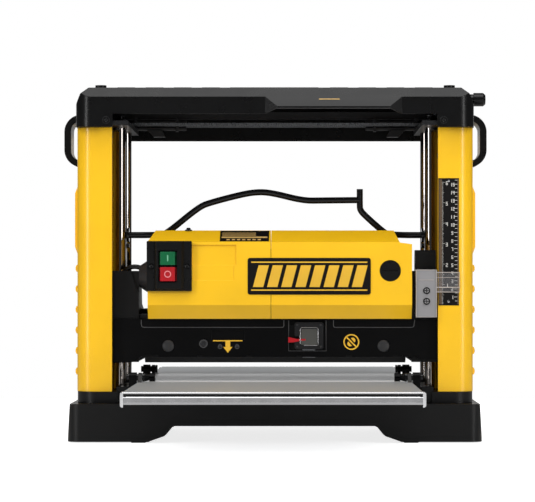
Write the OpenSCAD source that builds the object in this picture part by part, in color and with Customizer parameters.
// Portable thickness planer: fixed frame with folding tables, and a cutting head
// that a crank raises and lowers on four guide posts. Millimetres, +Z up.
// Origin: middle of the footprint, on the surface that it stands on.
// +X is the operator's right, +Y is the way the board leaves.

/* [Base] */
// Width of the base at the floor
base_w = 511; // [500:1:520]
// Depth of the base
base_d = 300; // [298:1:304]
// Height of the feet
foot_h = 48; // [46:1:50]
// Height of the open arch between the feet
arch_h = 21; // [16:1:26]
// Height of the base casting above the floor
base_lift = 1.5; // [1:0.5:3]

/* [Tables] */
// Height of the working surface
table_z = 75; // [74.8:0.1:75.2]
// Width of the bed and of both tables
table_w = 336; // [330:1:338]
// Length of the fixed bed
bed_d = 290; // [288:1:290]
// Length of each folding table
wing_l = 280; // [240:5:300]
// Depth of the rolled lip and side flanges
lip_h = 14.5; // [12:0.5:14.5]
// Height of the table hinge pins
hinge_z = 81; // [81:0.5:82]

/* [Frame] */
// Distance from the middle to the inner edge of a side cover
cover_in = 202.5; // [202:0.5:204]
// Distance from the middle to the outer face of a side cover
cover_out = 247; // [246:0.5:248]
// Depth of a side cover
cover_d = 228; // [226:1:230]
// Height of the foot of a side cover
cover_z0 = 62; // [61.5:0.5:62]
// Height of the top of a side cover
cover_z1 = 390; // [389:0.5:391]
// Corner radius of a side cover
cover_r = 20; // [16:1:24]
// Radius of a guide post
post_r = 8; // [7:0.5:8]
// Distance from the middle to a guide post's axis
post_x = 196.6; // [196:0.2:197]

/* [Top] */
// Half depth of the top cover
top_hd = 133; // [131:0.5:134]
// Height of the top face in its middle
top_z = 443; // [442.5:0.5:445]
// Height of the ribs on the top face
rib_h = 2; // [1:0.5:3]
// Height of the front lip's lower edge
top_lip_z = 406; // [404:1:408]
// Wall of the top cover
top_wall = 2.5; // [2:0.5:2.5]

/* [Head] */
// Height of the front panel's lower edge
panel_z0 = 104.4; // [104:0.2:106]
// Height of the front panel's upper edge
panel_z1 = 151.8; // [150:0.2:152]
// Height of the cutterhead axis
drum_z = 122.5; // [122.5:0.5:123]
// Radius of the cutterhead drum
drum_r = 22.5; // [21:0.5:23]
// Radius of the knives' cutting circle
cut_r = 25.5; // [25:0.5:25.5]
// Radius of a feed roller
roller_r = 19; // [18:0.5:19]
// Distance from the cutterhead axis to a feed roller's axis
roller_y = 62; // [61:0.5:63]
// Height of the motor axis
motor_z = 205; // [203:1:206]
// Distance of the motor axis in front of the cutterhead axis
motor_y = -80; // [-81:0.5:-79]
// Radius of the motor body
motor_r = 35; // [32:1:36]

/* [Lift] */
// Radius of a lead screw
screw_r = 8; // [7:0.5:8]
// Distance from the middle to a lead screw's axis
screw_x = 205; // [204:0.5:206]
// Distance of the lead screws behind the middle
screw_y = 84; // [83:0.5:85]
// Height of the crank's axis
crank_z = 427; // [426.5:0.5:427.5]
// Distance from the crank's axis to its knob's axis
crank_l = 52; // [44:1:52]
// Angle of the resting crank above level
crank_tilt = 9; // [0:1:9]

/* [Lever] */
// Radius of the lock lever's rod
rod_r = 4; // [3.8:0.1:4]
// Distance of the lever's axis in front of the middle
lever_y = -44; // [-45:0.5:-43]
// Height of the lever's axis
lever_z = 257.6; // [257:0.2:259]
// Height of the lever's highest bend
lever_top = 312; // [306:0.5:312]

/* [Hidden] */
$fn = 48;

black = [0.07, 0.07, 0.075];
yellow = [0.98, 0.78, 0.08];
steel = [0.72, 0.73, 0.75];
grey = [0.45, 0.46, 0.48];

gap = 0.3;            // free space between curved faces of different bodies
run = 0.05;           // radial clearance of a running fit
table_x = table_w / 2;
bed_y = bed_d / 2;
seam = 1;             // gap between the bed and a folding table
hinge_y = bed_y + 2;  // hinge axis from the middle
wing_y0 = bed_y + seam;
wing_y1 = wing_y0 + wing_l - seam;
hinge_r = 4;          // hinge pin
ear_r = 5.6;          // round end of a table's hinge ear
ear_x0 = 163;
ear_x1 = 167.5;
post_y = [-60, 50];   // guide posts from the middle
foot_x = 144;         // inner edge of a foot
bolt_x = 228;         // mounting holes
bolt_y = 132;
bolt_r = 4.5;
post_z1 = 400;
end_z0 = 98;          // end castings
end_z1 = 212;
end_x = 170.5;
head_y = 90;          // half depth of the carriage casting
panel_y = -100;       // front face of the lower panel
cover_y = -120;       // front face of the motor cover
crest_y = -84;        // top edge of the motor cover
belt_x = 214;
belt_w = 10;
motor_pulley_r = 13;
head_pulley_r = 20;
belt_t = 2.5;
mitre_r = 10;
chain_z = 403;
chain_h = 4;
sprocket_r = 16;
knob_r = 8.7;

// ---------- shared shapes ----------
module box(x0, x1, y0, y1, z0, z1) translate([x0, y0, z0]) cube([x1 - x0, y1 - y0, z1 - z0]);
module rod_x(x0, x1, y, z, r) translate([x0, y, z]) rotate([0, 90, 0]) cylinder(h = x1 - x0, r = r);
module rod_y(x, y0, y1, z, r) translate([x, y1, z]) rotate([90, 0, 0]) cylinder(h = y1 - y0, r = r);
module rod_z(x, y, z0, z1, r) translate([x, y, z0]) cylinder(h = z1 - z0, r = r);
// extrusions of a profile drawn in (y, z) along X, and of one drawn in (x, z) along Y
module along_x(x0, x1) translate([x0, 0, 0]) rotate([90, 0, 90]) linear_extrude(x1 - x0) children();
module along_y(y0, y1) translate([0, y1, 0]) rotate([90, 0, 0]) linear_extrude(y1 - y0) children();
module both_sides() { children(); mirror([1, 0, 0]) children(); }
module both_ends() { children(); mirror([0, 1, 0]) children(); }
module round_rect(w, d, r) {
  square([w - 2 * r, d], center = true);
  square([w, d - 2 * r], center = true);
  for (x = [-1, 1], y = [-1, 1]) translate([x * (w / 2 - r), y * (d / 2 - r)]) circle(r);
}
// cap screw with a cross slot, axis along -Y, head proud by h
module front_screw(x, y, z, r, h) difference() {
  rod_y(x, y - h, y, z, r);
  box(x - r * 0.7, x + r * 0.7, y - h - 1, y - h * 0.4, z - r * 0.14, z + r * 0.14);
  box(x - r * 0.14, x + r * 0.14, y - h - 1, y - h * 0.4, z - r * 0.7, z + r * 0.7);
}
// closed loop of rectangular section round two circles in the XY plane
module flat_loop(p, rp, q, rq, t) difference() {
  hull() {
    translate(p) circle(rp + t, $fn = 40);
    translate(q) circle(rq + t, $fn = 40);
  }
  hull() {
    translate(p) circle(rp, $fn = 40);
    translate(q) circle(rq, $fn = 40);
  }
}

// ---------- base ----------
module base_outline() {
  shoulder = base_w / 2 - 3;
  // arch with a short sloping ledge at each foot
  half_arch = [[foot_x + 12, base_lift], [foot_x - 8, base_lift + 7], [foot_x - 11, base_lift + 9.5],
    [foot_x - 18, arch_h - 1.5], [foot_x - 21, arch_h]];
  polygon(concat(half_arch, [for (i = [4:-1:0]) [-half_arch[i][0], half_arch[i][1]]],
    [[-base_w / 2, base_lift], [-shoulder, foot_h], [shoulder, foot_h], [base_w / 2, base_lift]]));
}
module base_casting() color(black) {
  wall = 7;
  deck = table_z - 13;
  difference() {
    union() {
      intersection() {
        along_y(-base_d / 2, base_d / 2) base_outline();
        linear_extrude(foot_h) round_rect(base_w, base_d, 16);
      }
      box(-table_x + 4, table_x - 4, -bed_y, bed_y, foot_h, deck);
      box(-table_x - 10, table_x + 10, -bed_y - 3, bed_y + 3, foot_h, 59);
      both_sides() {
        intersection() {
          box(cover_in - 8, cover_out + 4, -cover_d / 2 - 10, cover_d / 2 + 10, foot_h, cover_z0);
          linear_extrude(100) round_rect(2 * cover_out - 2, cover_d + 20, 24);
        }
        box(table_x + 2, cover_in - 6, -120, 120, foot_h, 68);
      }
    }
    both_sides() {
      box(foot_x + 8, base_w / 2 - 12, -base_d / 2 + wall + 4, base_d / 2 - wall - 4, 0, foot_h - wall);
      both_ends() rod_z(bolt_x, bolt_y, 0, foot_h + 1, bolt_r);
      for (y = post_y) rod_z(post_x, y, 41, 100, post_r);
      rod_z(screw_x, screw_y, 41, 100, screw_r + run);
    }
    box(-foot_x + 18, foot_x - 18, -bed_y + wall, bed_y - wall, 0, foot_h + 4);
  }
  both_sides() both_ends() difference() {
    rod_z(bolt_x, bolt_y, base_lift, foot_h - 1, 10);
    rod_z(bolt_x, bolt_y, 0, foot_h + 1, bolt_r);
  }
  for (y = [-70, 0, 70]) box(-foot_x + 17, foot_x - 17, y - 3, y + 3, arch_h + 2, foot_h + 5);
}
module rubber_feet() color([0.12, 0.12, 0.12]) both_sides() both_ends() {
  rod_z(bolt_x - 60, bolt_y - 10, 0, base_lift + 12, 9);
  rod_z(bolt_x - 60, bolt_y - 10, 0, base_lift, 13);
  box(bolt_x - 69, bolt_x - 51, bolt_y - 1, base_d / 2 - 8, 0, base_lift);
}
module corner_notch() both_sides() both_ends()
  box(ear_x0 - 4, table_x + 1, bed_y - 9, bed_y + 1, 0, 100);
module bed_plate() color(grey) difference() {
  box(-table_x, table_x, -bed_y, bed_y, table_z - 13, table_z - 1.5);
  corner_notch();
}
module bed_skin() color([0.8, 0.81, 0.82]) difference() {
  box(-table_x, table_x, -bed_y, bed_y, table_z - 1.5, table_z);
  corner_notch();
}
module hinge_brackets() color(black) both_sides() {
  both_ends() difference() {
    union() {
      along_x(table_x + 1.5, table_x + 11) {
        polygon([[hinge_y - 16, 59], [hinge_y + 1, 59], [hinge_y + 6, 68], [hinge_y + 6, hinge_z],
          [hinge_y - 6, hinge_z], [hinge_y - 16, 70]]);
        translate([hinge_y, hinge_z]) circle(6);
      }
      rod_x(table_x + 11, table_x + 13, hinge_y - 9, 65, 4);
    }
    rod_x(table_x, table_x + 20, hinge_y, hinge_z, hinge_r);
  }
  // domed washer and star nut on the inner end of each front pin
  translate([ear_x0 - 9, -hinge_y, hinge_z]) rotate([0, 90, 0]) cylinder(h = 6, r1 = 3.6, r2 = 5.4);
  translate([ear_x0 - 16, -hinge_y, hinge_z]) rotate([0, 90, 0]) linear_extrude(7)
    for (a = [0:60:120]) rotate(a) square([10.4, 3.4], center = true);
}
module hinge_pins() color(steel) both_sides() both_ends() {
  rod_x(ear_x0 - 0.5, table_x + 14, hinge_y, hinge_z, hinge_r);
  rod_x(ear_x0 - 3, ear_x0 - 0.5, hinge_y, hinge_z, 5.4);
}
// ---------- folding tables ----------
module wing_table() color([0.62, 0.63, 0.65]) {
  sheet = 3;
  difference() {
    union() {
      box(-table_x, table_x, -wing_y1 + 5, -wing_y0, table_z - sheet, table_z);
      both_sides() box(table_x - 4, table_x, -wing_y1 + 12, -wing_y0, table_z - lip_h, table_z - sheet);
      for (x = [-112, -56, 0, 56, 112])
        box(x - 2, x + 2, -wing_y1 + 12, -wing_y0 - 8, table_z - 9, table_z - sheet);
    }
    both_sides() box(ear_x0 - 4, ear_x0, -wing_y0 - 14, -wing_y0 + 1, 0, 100);
    both_sides() box(ear_x1, table_x + 1, -wing_y0 - 14, -wing_y0 + 1, 0, 100);
  }
  both_sides() difference() {
    along_x(ear_x0, ear_x1) {
      polygon([[-hinge_y - 14, table_z - lip_h], [-wing_y0, table_z - lip_h], [-wing_y0, table_z],
        [-hinge_y + ear_r * 0.8, hinge_z - ear_r * 0.6], [-hinge_y - ear_r * 0.8, hinge_z + ear_r * 0.6],
        [-hinge_y - 14, table_z]]);
      translate([-hinge_y, hinge_z]) circle(ear_r);
    }
    rod_x(ear_x0 - 1, ear_x1 + 1, -hinge_y, hinge_z, hinge_r + run);
  }
}
module wing_lip() color([0.85, 0.86, 0.88]) {
  front = -wing_y1;
  bead_r = 1.2;
  groove = [table_z - 5.4, table_z - 2 * bead_r];
  intersection() {
    along_x(-table_x, table_x) {
      // bead on top, dark groove below it, deep rolled band at the bottom
      translate([front + bead_r, table_z - bead_r]) circle(bead_r);
      polygon([[front + bead_r, groove[1]], [front + 5, groove[1]], [front + 5, table_z],
        [front + bead_r, table_z]]);
      polygon([[front + 3.4, groove[0] - 1], [front + 5, groove[0] - 1], [front + 5, groove[1] + 1],
        [front + 3.4, groove[1] + 1]]);
      polygon([[front + 1, groove[0]], [front + 5, groove[0]], [front + 5, table_z - lip_h + 0.6],
        [front + 3.4, table_z - lip_h], [front + 1.4, table_z - lip_h + 0.4], [front, table_z - lip_h + 2.6],
        [front, groove[0] - 1.2]]);
    }
    box(-table_x, table_x, front, front + 5, 0, table_z);
  }
  both_sides() {
    box(table_x - 14, table_x - 4, front + 5, front + 12, table_z - 12, table_z - 3);
    // rounded corner caps
    intersection() {
      translate([table_x, 0, 0]) linear_extrude(table_z) translate([-40, front + 40]) round_rect(88, 80, 9);
      along_y(front, front + 22) difference() {
        translate([table_x, table_z - 9]) round_rect(8, 17, 3);
        square([table_x, 200]);
      }
    }
  }
}
module infeed_table() wing_table();
module infeed_lip() wing_lip();
module outfeed_table() mirror([0, 1, 0]) wing_table();
module outfeed_lip() mirror([0, 1, 0]) wing_lip();

// ---------- fixed frame ----------
module guide_posts() color([0.85, 0.86, 0.88]) both_sides()
  for (y = post_y) rod_z(post_x, y, 41, post_z1, post_r);
module side_cover() color(yellow) {
  wall = 3;
  w = 2 * (cover_out - cover_in);
  difference() {
    translate([cover_in, 0, cover_z0]) linear_extrude(cover_z1 - cover_z0) intersection() {
      difference() {
        round_rect(w, cover_d, cover_r);
        round_rect(w - 2 * wall, cover_d - 2 * wall, cover_r - wall);
      }
      translate([0, -cover_d / 2]) square([w, cover_d]);
    }
    for (z = [86, 366]) rod_y(cover_in + 9, 0, cover_d, z, 2.5);
  }
  // smooth raised field with six grip ribs below it
  translate([cover_out - 1, 0, 0]) {
    intersection() {
      along_y(-90, 90) polygon([[0, 232], [1.6, 233], [4.5, 242], [4.5, 309], [1.6, 318], [0, 319]]);
      rotate([0, 90, 0]) translate([-275.5, 0, 0]) linear_extrude(10) round_rect(87, 180, 12);
    }
    for (i = [0:5]) translate([0, 0, 81.6 + 25.7 * i]) along_y(-88, 88)
      polygon([[0, 0], [2.8, 0.8], [4, 3.4], [4, 6.6], [2.8, 9.2], [0, 10]]);
  }
}
module left_side_cover() mirror([1, 0, 0]) side_cover();
module right_side_cover() side_cover();
module side_cover_screws() color(steel) both_sides() for (z = [86, 366]) {
  rod_y(cover_in + 9, cover_d / 2 - 12, cover_d / 2, z, 2.5);
  rod_y(cover_in + 9, cover_d / 2 - 6, cover_d / 2 - 3, z, 4.5);
}
module depth_scale() color([0.9, 0.9, 0.88])
  box(cover_in + 0.5, cover_in + 26, -cover_d / 2 - 0.6, -cover_d / 2, 169, 327);

module top_bracket() color(grey) difference() {
  union() {
    box(183, cover_out - 4, -112, 112, cover_z1 + 3, post_z1 - 1);
    box(cover_in + 2, cover_out - 4, -108, 108, cover_z1, cover_z1 + 3);
    for (y = post_y) rod_z(post_x, y, cover_z1 + 3, post_z1 + 1.5, 12);
    rod_z(screw_x, screw_y, cover_z1 + 3, post_z1 + 1.5, 13);
    box(183, 187, 70, 80, post_z1 - 1, 414);
  }
  for (y = post_y) rod_z(post_x, y, cover_z1 - 1, post_z1, post_r);
  rod_z(screw_x, screw_y, cover_z1 - 1, post_z1 + 5, screw_r + run);
}
module left_top_bracket() mirror([1, 0, 0]) top_bracket();
module right_top_bracket() top_bracket();
module cross_beams() color(grey) {
  both_ends() {
    both_sides() box(206, 236, 104.5, 112, post_z1 - 1, 414);
    along_x(-236, 236) polygon([[104.5, 414], [119, 414], [119, 417], [108, 417], [108, 424],
      [104.5, 424]]);
  }
  // storage clip rods under the top, on their two brackets
  both_sides() {
    for (z = [399.8, 409]) rod_x(118, 183, 75, z, 2.5);
    box(128, 132, 70, 80, 396, 412.5);
    along_y(69, 81) polygon([[150, 398], [170, 398], [161, cover_z1 - 1.2], [146, cover_z1 - 1.2]]);
  }
}
// closed top cover: a shell open underneath
module top_outline(half_w, z0, z1) {
  shoulder = [[half_w, z1 - 25], [half_w - 6, z1 - 12], [half_w - 18, z1 - 2.5], [half_w - 24, z1]];
  polygon(concat([[-half_w, z0], [half_w, z0]], shoulder,
    [for (i = [3:-1:0]) [-shoulder[i][0], shoulder[i][1]]]));
}
// outline of the top cover in (y, z): low sloping edges, higher in the middle
module top_profile(inset, z0) polygon([[-top_hd + inset, z0], [-top_hd + inset, 427], [-122 + inset, 439 - inset],
  [-70, top_z - 1.7 - inset], [-52, top_z - inset], [52, top_z - inset], [70, top_z - 1.7 - inset],
  [122 - inset, 439 - inset], [top_hd - inset, 427], [top_hd - inset, z0]]);
module top_cover() color(black) {
  t = top_wall;
  grip = [[-14, top_lip_z - 1], [3, 412.8], [142, 412.8], [157, top_lip_z - 1]];
  difference() {
    union() {
      intersection() {
        along_y(-top_hd, top_hd) top_outline(cover_out, cover_z1, top_z);
        linear_extrude(500) round_rect(2 * cover_out, 2 * top_hd, 20);
        along_x(-cover_out, cover_out) top_profile(0, cover_z1);
      }
      // one wide rib in the middle, four narrow ones on each side of it
      intersection() {
        along_y(-117, 117) {
          polygon([[-57, 430], [-55, top_z + rib_h], [52, top_z + rib_h], [57, 430]]);
          for (s = [-1, 1], i = [0:3]) let (x = 91 + 35 * i)
            polygon([[s * x, 430], [s * (x - 1), top_z + rib_h], [s * (x - 17), top_z + rib_h],
              [s * (x - 32), 430]]);
        }
        along_x(-210, 210) translate([0, rib_h]) top_profile(1.5, 434);
      }
      both_sides() for (y = [-90, 90]) rod_z(218, y, top_z - 6, top_z + 1, 7);
      // rear wall reaches a little lower between the columns
      box(-cover_in + 2, cover_in - 2, top_hd - t, top_hd, cover_z1 - 3.5, cover_z1 + 1);
      // sloping grip that stands out from the front face
      intersection() {
        linear_extrude(500) polygon([[-12, 1 - top_hd], [-12, -top_hd], [3, -top_hd - 8], [142, -top_hd - 8],
          [157, -top_hd], [157, 1 - top_hd]]);
        along_x(-20, 160) polygon([[1 - top_hd, top_lip_z], [-top_hd, top_lip_z], [-top_hd - 8, 412.8],
          [-top_hd - 8, 414.6], [-top_hd, 427], [1 - top_hd, 427]]);
      }
      rod_x(cover_out - 14, cover_out + 2, screw_y, crank_z, 13);
    }
    intersection() {
      along_y(-top_hd + t, top_hd - t) top_outline(cover_out - t, cover_z1 - 1, top_z - t);
      linear_extrude(500) round_rect(2 * cover_out - 2 * t, 2 * top_hd - 2 * t, 20 - t);
      along_x(-cover_out, cover_out) top_profile(t, cover_z1 - 1);
    }
    // raised front opening between the columns, higher still under the grip
    box(-cover_in + 2, cover_in - 2, -top_hd - 12, -top_hd + 20, cover_z1 - 1, top_lip_z);
    along_y(-top_hd - 12, -top_hd + 20) polygon(grip);
    rod_x(cover_out - 20, cover_out + 5, screw_y, crank_z, 8 + run);
    both_sides() both_ends() rod_y(208.5, -top_hd - 1, -top_hd + 9, 398, 2.5);
  }
}
module top_cover_screws() color(steel) both_sides() both_ends() {
  front_screw(208.5, -top_hd, 398, 4.2, 1.5);
  rod_y(208.5, -top_hd, -top_hd + 8, 398, 2.5);
}
module carry_handle() color(black) {
  x0 = cover_out;
  w = 23;
  z0 = 345;
  z1 = 412;
  t = 8.6;
  hd = 22;
  translate([x0, 0, (z0 + z1) / 2]) intersection() {
    rotate([90, 0, 0]) linear_extrude(2 * hd, center = true) difference() {
      round_rect(2 * w, z1 - z0, 22);
      round_rect(2 * (w - t), z1 - z0 - 2 * t, 12);
    }
    box(0, w, -hd, hd, -50, 50);
  }
  box(x0, x0 + 3, -hd - 5, hd + 5, z1 - 12, z1);
  box(x0, x0 + 3, -hd - 5, hd + 5, z0, z0 + 12);
}
module right_carry_handle() carry_handle();
module left_carry_handle() mirror([1, 0, 0]) carry_handle();

// ---------- crank and lift ----------
module crank_bush() color([0.7, 0.55, 0.25]) difference() {
  rod_x(cover_out - 16, cover_out + 1, screw_y, crank_z, 8);
  rod_x(cover_out - 17, cover_out + 2, screw_y, crank_z, 5 + run);
}
// turned about the crank's axis to the crank's resting angle
module at_crank_angle() translate([0, screw_y, crank_z]) rotate([-crank_tilt, 0, 0])
  translate([0, -screw_y, -crank_z]) children();
module crank_arm() color(black) at_crank_angle() {
  x0 = cover_out + 2.6;
  rod_x(screw_x + mitre_r, x0, screw_y, crank_z, 5);
  rod_x(x0, x0 + 9, screw_y, crank_z, 10);
  along_x(x0, x0 + 7) {
    translate([screw_y - crank_l, crank_z]) circle(7);
    polygon([[screw_y, crank_z - 9], [screw_y, crank_z + 9],
      [screw_y - crank_l, crank_z + 7], [screw_y - crank_l, crank_z - 7]]);
  }
  rod_x(x0 + 7, x0 + 22, screw_y - crank_l, crank_z, 3);
  rod_x(x0 + 21.4, x0 + 22.4, screw_y - crank_l, crank_z, 5);
}
module crank_knob() color(black) at_crank_angle() {
  x0 = cover_out + 2.6 + 7 + gap;
  difference() {
    union() {
      rod_x(x0, x0 + 12.5, screw_y - crank_l, crank_z, knob_r);
      translate([x0 + 12.5, screw_y - crank_l, crank_z]) rotate([0, 90, 0])
        cylinder(h = 3, r1 = knob_r, r2 = knob_r - 2.5);
    }
    rod_x(x0 - 1, x0 + 20, screw_y - crank_l, crank_z, 3 + run);
    rod_x(x0 + 13.5, x0 + 20, screw_y - crank_l, crank_z, 5.5);
  }
}
// one of a pair of mitre gear blanks, apex at the origin, axis along -Z
module mitre_gear() difference() {
  translate([0, 0, -mitre_r]) cylinder(h = mitre_r - 3, r1 = mitre_r - 0.7, r2 = 3 - 0.7);
  for (i = [0:11]) rotate([0, 0, 30 * i])
    translate([mitre_r - 1.7, -0.8, -mitre_r - 1]) cube([2, 1.6, mitre_r]);
}
module crank_gear() color(steel) difference() {
  translate([screw_x, screw_y, crank_z]) rotate([0, -90, 0]) mitre_gear();
  rod_x(screw_x + mitre_r - 5, screw_x + 20, screw_y, crank_z, 0.5);
}
module lead_screw() color(steel) {
  rod_z(screw_x, screw_y, 41 + gap, crank_z - mitre_r - 4, screw_r);
  rod_z(screw_x, screw_y, crank_z - mitre_r - 4, crank_z - mitre_r, 5);
}
module right_lead_screw() lead_screw();
module left_lead_screw() mirror([1, 0, 0]) lead_screw();
module screw_gear() color(steel) translate([screw_x, screw_y, crank_z]) mitre_gear();
module sprocket() color(grey) difference() {
  union() {
    rod_z(screw_x, screw_y, chain_z, chain_z + chain_h, sprocket_r - 2);
    for (i = [0:13]) translate([screw_x, screw_y, chain_z + 1]) rotate([0, 0, i * 360 / 14])
      box(0, sprocket_r, -1.4, 1.4, 0, chain_h - 2);
  }
  rod_z(screw_x, screw_y, chain_z - 1, chain_z + 9, screw_r);
}
module right_sprocket() sprocket();
module left_sprocket() mirror([1, 0, 0]) sprocket();
module drive_chain() color(grey) translate([0, 0, chain_z]) linear_extrude(chain_h)
  flat_loop([-screw_x, screw_y], sprocket_r + gap, [screw_x, screw_y], sprocket_r + gap, 3);

// ---------- carriage ----------
module carriage_casting() color(black) difference() {
  along_x(-end_x, end_x) difference() {
    polygon([[-head_y, 104], [-head_y, 158], [-48, 158], [-42, 164], [40, 164], [head_y, 150],
      [head_y, 104]]);
    translate([0, drum_z]) circle(29);
    translate([-24, 90]) square([48, 32]);
    for (s = [-1, 1]) translate([s * roller_y - 22.5, 90]) square([45, 48]);
  }
  // chip outlet above the cutterhead
  box(-150, 150, 8, 34, 130, 170);
}
module end_casting() color(black) {
  nut_z1 = 150;
  difference() {
    union() {
      along_x(end_x, end_x + 9.5)
        polygon([[-head_y, 99], [head_y, 99], [head_y, 150], [-20, 170], [-34, end_z1], [-head_y, end_z1]]);
      for (y = post_y) {
        rod_z(post_x, y, end_z0, y < 0 ? end_z1 : 170, 13);
        box(end_x + 5, post_x, y - 8, y + 8, end_z0, y < 0 ? end_z1 - 4 : 160);
      }
      rod_z(screw_x, screw_y, end_z0, nut_z1, 15);
      box(end_x + 5, screw_x, screw_y - 6, screw_y + 5.9, end_z0, nut_z1 - 4);
      // front skin, with a slanted upper corner
      along_y(-head_y - 4, -head_y) polygon([[end_x, end_z0], [cover_in + 4, end_z0],
        [cover_in + 4, end_z1], [cover_in - 22, end_z1], [end_x, 182]]);
    }
    for (y = post_y) rod_z(post_x, y, end_z0 - 1, end_z1 + 1, post_r + run);
    rod_z(screw_x, screw_y, end_z0 - 1, nut_z1 + 1, 12);
    rod_x(end_x - 1, end_x + 12, 0, drum_z, 17.5);
    rod_x(end_x - 1, end_x + 12, motor_y, motor_z, 9);
    for (s = [-1, 1]) rod_x(end_x - 1, end_x + 12, s * roller_y, 97 + roller_r - 0.5, 7 + run);
  }
  // ears that carry the lock lever
  difference() {
    along_x(189, 196) {
      polygon([[lever_y - 14, end_z1 - 20], [lever_y + 14, end_z1 - 50], [lever_y + 9, 234],
        [lever_y + 6.5, lever_z], [lever_y - 6.5, lever_z], [lever_y - 11, 234]]);
      translate([lever_y, lever_z]) circle(6.5);
    }
    rod_x(188, 200, lever_y, lever_z, rod_r + run);
    rod_z(post_x, post_y[0], end_z0 - 1, end_z1 + 50, post_r + run);
  }
}
module left_end_casting() mirror([1, 0, 0]) end_casting();
module right_end_casting() {
  end_casting();
  // guard over the motor pulley's bearing
  color(black) along_x(175, 201) polygon([[-head_y - 4, end_z1], [-71, end_z1], [-71, 232], [-76, 238],
    [-head_y, 238], [-head_y - 4, 234]]);
}
module lift_nuts() color([0.7, 0.55, 0.25]) both_sides() difference() {
  union() {
    rod_z(screw_x, screw_y, end_z0, 154, 12);
    rod_z(screw_x, screw_y, 150, 154, 15);
  }
  rod_z(screw_x, screw_y, 90, 160, screw_r + run);
}
module front_panel() color(black) {
  y1 = -head_y - 4;
  difference() {
    along_y(panel_y, y1) difference() {
      polygon([[-203, 97.4], [-181, 97.4], [-175, 98.8], [-169, 102.6], [-163.5, 107], [-146, 107],
        [-146, panel_z0], [147, panel_z0], [147, 107], [159, 107], [159, 104.2], [173, 104.2],
        [173, 106], [177, 106], [178, 101.5], [203, 101.5], [203, panel_z1], [-203, panel_z1]]);
      for (x = [-94, -32, 30, 92]) translate([x - 3, panel_z0 - 1]) square([6, 3]);
      translate([17, 112]) square([47, 38.6]);
    }
    // recessed outline strips
    box(-167.5, 10, panel_y - 1, panel_y + 0.8, 141, 142.5);
    box(73.4, 173.8, panel_y - 1, panel_y + 0.8, 141, 142.5);
    box(-79, -38, panel_y - 1, panel_y + 1.5, 126, 138);
    for (x = [-133, 135.6]) rod_y(x, panel_y - 1, panel_y + 2, 118, 7.6);
    rod_y(-88.6, panel_y - 1, panel_y + 2, 122, 5);
  }
  // return that ties the panel to the casting under the motor cover
  box(-166, 166, y1, -head_y, 144, 150);
}
module panel_screws() color(grey) {
  for (x = [-133, 135.6]) front_screw(x, panel_y + 2, 118, 6.8, 2.6);
  front_screw(-88.6, panel_y + 2, 122, 4.4, 2.2);
  for (x = [-68.6, -47.4]) front_screw(x, panel_y, 118.5, 2.4, 0.8);
}
module gauge_bezel() color([0.35, 0.35, 0.37]) along_y(panel_y - 1.5, panel_y + 3) difference() {
  translate([42.3, 131]) round_rect(35.6, 34, 3);
  translate([41.7, 130]) round_rect(22.3, 20.6, 2);
  translate([24, 124.6]) square([12, 5.8]);
}
module gauge_pointer() color([0.8, 0.1, 0.08]) difference() {
  union() {
    box(17.6, 38, panel_y - 0.9, panel_y + 0.9, 124.9, 127.1);
    box(34, 46, panel_y + 0.9 + gap, panel_y + 3, 121.5, 130.5);
    box(34, 38, panel_y + 0.9, panel_y + 1.5, 124.9, 127.1);
  }
  rod_y(44, panel_y, panel_y + 5, 126, 0.8);
}
module gauge_feeler() color(steel) {
  box(34, 50, panel_y + 6.6, panel_y + 9.4, 103.6, 116);
  box(38, 46, panel_y + 6.6, panel_y + 9.4, 116, 132);
}
// outline of the motor cover in (y, z)
module motor_profile(inset) {
  i = inset;
  polygon([[-104, 152.2], [-108, 152.2], [cover_y + i, 169.5], [cover_y + i, 247.6 - i * 0.8],
    [crest_y, 262.7 - i * 1.1], [-64 - i * 0.6, 250.5 - i * 0.9], [-56, 240], [-56, 236]]);
}
module motor_cover_shell() difference() {
  union() {
    intersection() {
      difference() {
        along_x(-158, 170) motor_profile(0);
        along_x(-156, 168) difference() {
          motor_profile(3);
          translate([-200, 100]) square([200, 55]);
        }
      }
      // chamfered ends of the sloped top
      along_y(-130, -40) polygon([[-158, 150], [-158, 248], [-149, 264], [148, 264], [155, 247],
        [170, 245], [170, 150]]);
    }
  }
  // open back, window for the switch box, holes for the brush cap and the motor's ends
  box(-155, 167, -104, -40, 150, 236);
  rod_x(-159, -155, motor_y, motor_z, 20 + gap);
  rod_x(166, 171, motor_y, motor_z, 12 + gap);
  box(-157, -104.6, cover_y - 1, cover_y + 8, 188.5, 247);
  rod_y(143, cover_y - 1, cover_y + 8, 212, 13.3);
}
module motor_cover_left() color(yellow) difference() {
  intersection() {
    motor_cover_shell();
    box(-170, -5.3, -140, -20, 140, 270);
  }
  // two shallow pockets beside the switch
  box(-103.5, -48, cover_y - 1, cover_y + 2, 219, 244);
  box(-101, -51, cover_y - 1, cover_y + 1, 200, 220);
}
module motor_cover_right() color(yellow) intersection() {
  motor_cover_shell();
  box(-4.7, 170, -140, -20, 140, 270);
}
module motor_body() color([0.13, 0.13, 0.14]) difference() {
  union() {
    rod_x(-98, 150, motor_y, motor_z, motor_r);
    rod_x(-142, -98, motor_y, motor_z, 27);
    rod_x(150, 161, motor_y, motor_z, motor_r - 6);
    rod_x(161, end_x, motor_y, motor_z, 12);
    rod_x(-160, -142, motor_y, motor_z, 20);
    translate([-end_x, motor_y, motor_z]) rotate([0, 90, 0]) cylinder(h = end_x - 160, r1 = 13, r2 = 20);
    box(-96, 140, motor_y - 8, motor_y + 30, 158, motor_z);
    for (i = [0:8]) rod_x(-90 + 24 * i, -84 + 24 * i, motor_y, motor_z, motor_r + 1);
    rod_y(143, cover_y + 3.5, -100, 212, 9);
  }
  rod_x(100, 180, motor_y, motor_z, 5 + run);
}
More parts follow.
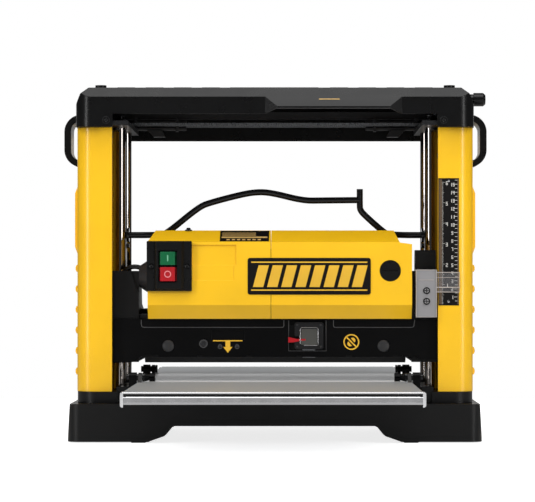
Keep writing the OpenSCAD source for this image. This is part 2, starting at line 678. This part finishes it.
module motor_rotor() color(steel) {
  rod_x(110, belt_x + belt_w, motor_y, motor_z, 5);
  rod_x(belt_x, belt_x + belt_w, motor_y, motor_z, motor_pulley_r);
  rod_x(belt_x - 2, belt_x, motor_y, motor_z, motor_pulley_r + 2);
}
module brush_cap() color(black) difference() {
  rod_y(143, cover_y - 0.6, cover_y + 3.5, 212, 12.6);
  box(132, 154, cover_y - 2, cover_y + 1.6, 210.8, 213.2);
}
module switch_box() color(black) difference() {
  union() {
    along_y(-127, cover_y) polygon([[-158.7, 187.5], [-158.7, 248], [-157.5, 248.8], [-104, 248.8],
      [-102.9, 248], [-102.9, 187.5], [-104, 186.8], [-157.5, 186.8]]);
    hull() {
      box(-150, -112, -127.2, -127, 188.5, 248);
      box(-146.6, -115.5, -131, -127, 189.5, 247);
    }
    box(-156, -105.6, cover_y, cover_y + 9, 189.5, 246);
  }
  box(-144, -121, -132, -113, 197.5, 237);
  for (x = [-152.9, -108.8]) rod_y(x, -130, -125, 217.4, 3.6);
}
module button(z0, z1) {
  box(-141.6, -123.4, -133, -116.6, z0, z1);
  box(-143.4, -121.6, -122.5, -116.6, z0, z1);
}
module green_button() color([0.05, 0.5, 0.28]) button(219, 235.4);
module red_button() color([0.85, 0.1, 0.12]) button(199, 216.4);
module name_plate() color(black) intersection() {
  along_y(cover_y - 1.2, cover_y) translate([42.5, 205.2]) round_rect(152.6, 45.5, 3);
  box(-40, 130, cover_y - 2, cover_y, 170, 240);
}
module pointer_bracket() color([0.7, 0.7, 0.72, 0.6]) {
  y1 = -head_y - 4;
  // body on the right end casting, arm in front of the side cover's scale
  box(174.8, 200.6, -121, -118, 154, 213.5);
  box(174.8, 178, -118, y1, 154, 213.5);
  box(197.4, 200.6, -118, y1, 154, 213.5);
  box(200.6, 229.2, -121, -118.6, 185, 210.4);
  box(219, 229, -118.6, -117.4, 190.4, 191.6);
  for (z = [174.1, 187.3]) front_screw(188, -121, z, 4, 1.5);
}
module cutter_drum() color(steel) difference() {
  union() {
    rod_x(-167, 167, 0, drum_z, drum_r);
    rod_x(-180, belt_x, 0, drum_z, 8);
    rod_x(belt_x, belt_x + belt_w, 0, drum_z, head_pulley_r);
    rod_x(belt_x - 2, belt_x, 0, drum_z, head_pulley_r + 1.5);
  }
  for (i = [0:2]) translate([0, 0, drum_z]) rotate([120 * i + 40, 0, 0])
    box(-168, 168, -2, 3, drum_r - 7, drum_r + 5);
}
module knives() color([0.8, 0.8, 0.82]) for (i = [0:2])
  translate([0, 0, drum_z]) rotate([120 * i + 40, 0, 0]) difference() {
    box(-166, 166, -2, 3, drum_r - 7, cut_r - 0.1);
    box(-170, 170, -3, 1, drum_r - 0.5, cut_r + 1);
    for (x = [-140:56:140]) rod_z(x, -0.5, drum_r - 3, cut_r, 1.2);
  }
module head_bearings() color(grey) both_sides() difference() {
  rod_x(end_x, end_x + 9, 0, drum_z, 17.5);
  rod_x(end_x - 1, end_x + 12, 0, drum_z, 8 + run);
}
module drive_belt() color([0.1, 0.1, 0.1]) along_x(belt_x + 1, belt_x + belt_w - 1)
  flat_loop([motor_y, motor_z], motor_pulley_r + gap, [0, drum_z], head_pulley_r + gap, belt_t);
module feed_rollers_gearcase() color(grey) difference() {
  along_x(-187, -180.5) polygon([[-40, 102], [40, 102], [40, 136], [18, 150], [-18, 150], [-40, 136]]);
  rod_x(-190, -179, 0, drum_z, 9);
}
module feed_roller(y) {
  z = 97 - 0.5 + roller_r;
  rod_x(-164, 164, y, z, roller_r);
  rod_x(-179.5, 179.5, y, z, 7);
  both_sides() rod_x(164, 168, y, z, 10);
}
module infeed_roller() color([0.2, 0.2, 0.2]) feed_roller(-roller_y);
module outfeed_roller() color([0.2, 0.2, 0.2]) feed_roller(roller_y);
module dust_hood() color(black) difference() {
  union() {
    along_x(-156, 156) polygon([[2, 164.2], [40, 164.2], [head_y - 6, 151.8], [head_y, 151.8],
      [head_y, 224], [head_y - 3, 227], [10, 227], [2, 210]]);
    rod_y(90, head_y - 1, 146, 190, 31.5);
  }
  along_x(-153, 153) polygon([[5, 160], [40, 160], [head_y - 6, 150], [head_y - 3, 150],
    [head_y - 3, 222.5], [head_y - 4.5, 224], [12, 224], [5, 209]]);
  rod_y(90, 70, 150, 190, 28.5);
}
// bent rod: straight ends turn in the brackets, the raised middle is the handle
lever_corners = [[-200, lever_z], [-146, lever_z], [-138, lever_z + 2], [-97, lever_top - 18.5],
  [-82, lever_top - 13], [-50, lever_top - 4.5], [-27, lever_top + 0.2], [-6, lever_top - 0.2],
  [35, lever_top - 10.8], [60, lever_top - 10.4], [104, lever_top - 10], [110.4, lever_top - 10]];
// upright end of the handle and the leg below it
lever_leg = [[107.2, lever_top + 8], [107.2, lever_top], [107.2, lever_top - 16], [107.6, lever_top - 22],
  [112, lever_top - 28], [136, lever_z + 5], [144, lever_z], [200, lever_z]];
// quadratic spline through the corners' midpoints, in (x, z)
function spline(p, i, t) = 0.5 * (1 - t) * (1 - t) * p[i - 1] + (0.5 + t - t * t) * p[i]
  + 0.5 * t * t * p[i + 1];
module swept_rod(p, r, steps, sides) {
  n = len(p);
  path = concat([for (i = [1:n - 2], k = [0:steps - 1]) spline(p, i, k / steps)],
    [spline(p, n - 2, 1)]);
  m = len(path);
  heading = [for (i = [0:m - 1]) let (d = path[min(i + 1, m - 1)] - path[max(i - 1, 0)]) atan2(d[1], d[0])];
  points = [for (i = [0:m - 1], k = [0:sides - 1]) let (a = 360 * k / sides)
    [path[i][0] - sin(heading[i]) * r * cos(a), lever_y + r * sin(a),
      path[i][1] + cos(heading[i]) * r * cos(a)]];
  skin = [for (i = [0:m - 2], k = [0:sides - 1]) let (j = (k + 1) % sides)
    [i * sides + k, i * sides + j, (i + 1) * sides + j, (i + 1) * sides + k]];
  ends = [[for (k = [sides - 1:-1:0]) k], [for (k = [0:sides - 1]) (m - 1) * sides + k]];
  polyhedron(points, concat(skin, ends));
}
module lock_lever() color(black) {
  swept_rod(lever_corners, rod_r, 5, 16);
  swept_rod(lever_leg, rod_r, 5, 16);
  both_sides() {
    rod_x(165, 202, lever_y, lever_z, rod_r);
    rod_x(185.4, 188.4, lever_y, lever_z, 9);
  }
}
base_casting();
rubber_feet();
bed_plate();
bed_skin();
hinge_brackets();
hinge_pins();
infeed_table();
infeed_lip();
outfeed_table();
outfeed_lip();
guide_posts();
left_side_cover();
right_side_cover();
side_cover_screws();
depth_scale();
left_top_bracket();
right_top_bracket();
cross_beams();
top_cover();
top_cover_screws();
left_carry_handle();
right_carry_handle();
crank_bush();
crank_arm();
crank_gear();
crank_knob();
right_lead_screw();
left_lead_screw();
screw_gear();
right_sprocket();
left_sprocket();
drive_chain();
carriage_casting();
left_end_casting();
right_end_casting();
lift_nuts();
front_panel();
panel_screws();
gauge_bezel();
gauge_pointer();
gauge_feeler();
motor_cover_left();
motor_cover_right();
motor_body();
motor_rotor();
brush_cap();
switch_box();
green_button();
red_button();
name_plate();
pointer_bracket();
cutter_drum();
knives();
head_bearings();
drive_belt();
feed_rollers_gearcase();
infeed_roller();
outfeed_roller();
dust_hood();
lock_lever();
